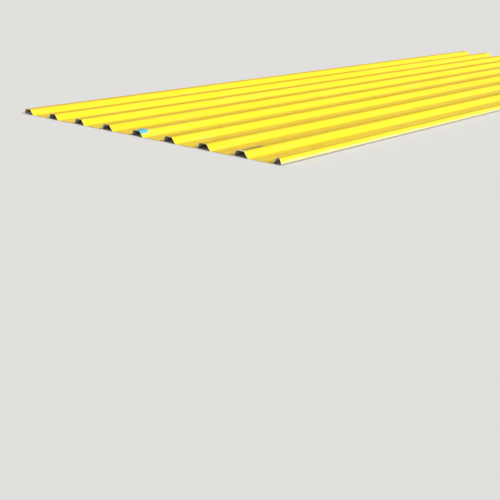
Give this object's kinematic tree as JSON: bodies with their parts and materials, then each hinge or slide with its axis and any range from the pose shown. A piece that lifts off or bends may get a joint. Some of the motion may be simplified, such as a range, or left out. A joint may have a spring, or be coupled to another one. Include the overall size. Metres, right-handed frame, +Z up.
{
  "type": "corrugated metal sheet",
  "caption": "Straight trapezoidal profiled steel sheet with a colour coat on top, an overlap rib along one long edge and a narrow underlap rib along the other.",
  "frame": {"origin": "middle of the sheet's length and overall width, in the plane of the valleys' undersides", "axes": "+X along the ribs, +Y across them towards the overlap rib, +Z up out of the coated face"},
  "size_m": [3, 1.1296, 0.0185],
  "materials": {
    "coated_steel": "semi-gloss"
  },
  "bodies": {
    "root": {"profiled_sheet": "coated_steel"}
  },
  "joints": []
}
